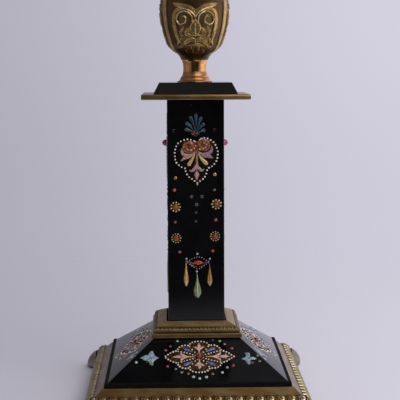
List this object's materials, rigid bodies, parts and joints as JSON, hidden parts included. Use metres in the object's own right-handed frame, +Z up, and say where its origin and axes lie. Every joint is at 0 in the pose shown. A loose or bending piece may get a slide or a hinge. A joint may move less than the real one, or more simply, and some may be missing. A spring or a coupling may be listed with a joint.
{
  "type": "candle holder",
  "caption": "Tall candle holder with a square stone column on a sloped, footed base, gilt mouldings, raised enamel ornament and an urn that carries a loose drip pan.",
  "frame": {"origin": "on the floor under the middle of the base", "axes": "+Z up the column, -Y towards the front, +X to the right seen from the front"},
  "size_m": [0.1672, 0.1672, 0.304],
  "materials": {
    "black_stone": "polished black stone, near mirror gloss",
    "gilt_brass": "gilt brass, aged to brown and olive in the hollows, rubbed bright on the crests",
    "copper_gilt": "copper-coloured gilding, polished",
    "bronze": "olive bronze patina with worn gilt highlights",
    "iron": "dull oxidised iron",
    "jewelled_enamel": "glossy raised enamel on gilt foil, edged with cream beads",
    "teal_enamel": "glossy turquoise enamel",
    "gold_enamel": "glossy amber and green enamel over gilt foil",
    "pink_glass": "polished magenta glass cabochon"
  },
  "bodies": {
    "holder": {"foot_front_left": "gilt_brass", "foot_front_right": "gilt_brass", "foot_rear_left": "gilt_brass", "foot_rear_right": "gilt_brass", "base_rail_front": "gilt_brass", "collar_rail_front": "gilt_brass", "heart_front": "jewelled_enamel", "palmette_front": "teal_enamel", "pendant_front": "gold_enamel", "medallion_front": "jewelled_enamel", "leaf_left_front": "teal_enamel", "leaf_right_front": "teal_enamel", "base_rail_right": "gilt_brass", "collar_rail_right": "gilt_brass", "heart_right": "jewelled_enamel", "palmette_right": "teal_enamel", "pendant_right": "gold_enamel", "medallion_right": "jewelled_enamel", "leaf_left_right": "teal_enamel", "leaf_right_right": "teal_enamel", "base_rail_rear": "gilt_brass", "collar_rail_rear": "gilt_brass", "heart_rear": "jewelled_enamel", "palmette_rear": "teal_enamel", "pendant_rear": "gold_enamel", "medallion_rear": "jewelled_enamel", "leaf_left_rear": "teal_enamel", "leaf_right_rear": "teal_enamel", "base_rail_left": "gilt_brass", "collar_rail_left": "gilt_brass", "heart_left": "jewelled_enamel", "palmette_left": "teal_enamel", "pendant_left": "gold_enamel", "medallion_left": "jewelled_enamel", "leaf_left_left": "teal_enamel", "leaf_right_left": "teal_enamel", "base_stone": "black_stone", "column": "black_stone", "cap_block": "black_stone", "capital_plate": "gilt_brass", "stem": "copper_gilt", "urn_body": "bronze", "urn_rim": "bronze", "under_plate": "iron", "rod_washer": "iron", "rod_nut_lower": "iron", "rod_nut_upper": "iron", "tie_rod": "iron", "cabochon_left": "pink_glass", "cabochon_right": "pink_glass"},
    "pan": {"drip_pan": "gilt_brass"}
  },
  "joints": [
    {"name": "pan_lift", "type": "slide", "parent": "holder", "child": "pan", "axis": [0, 0, 1], "range_m": [0, 0.03]}
  ]
}
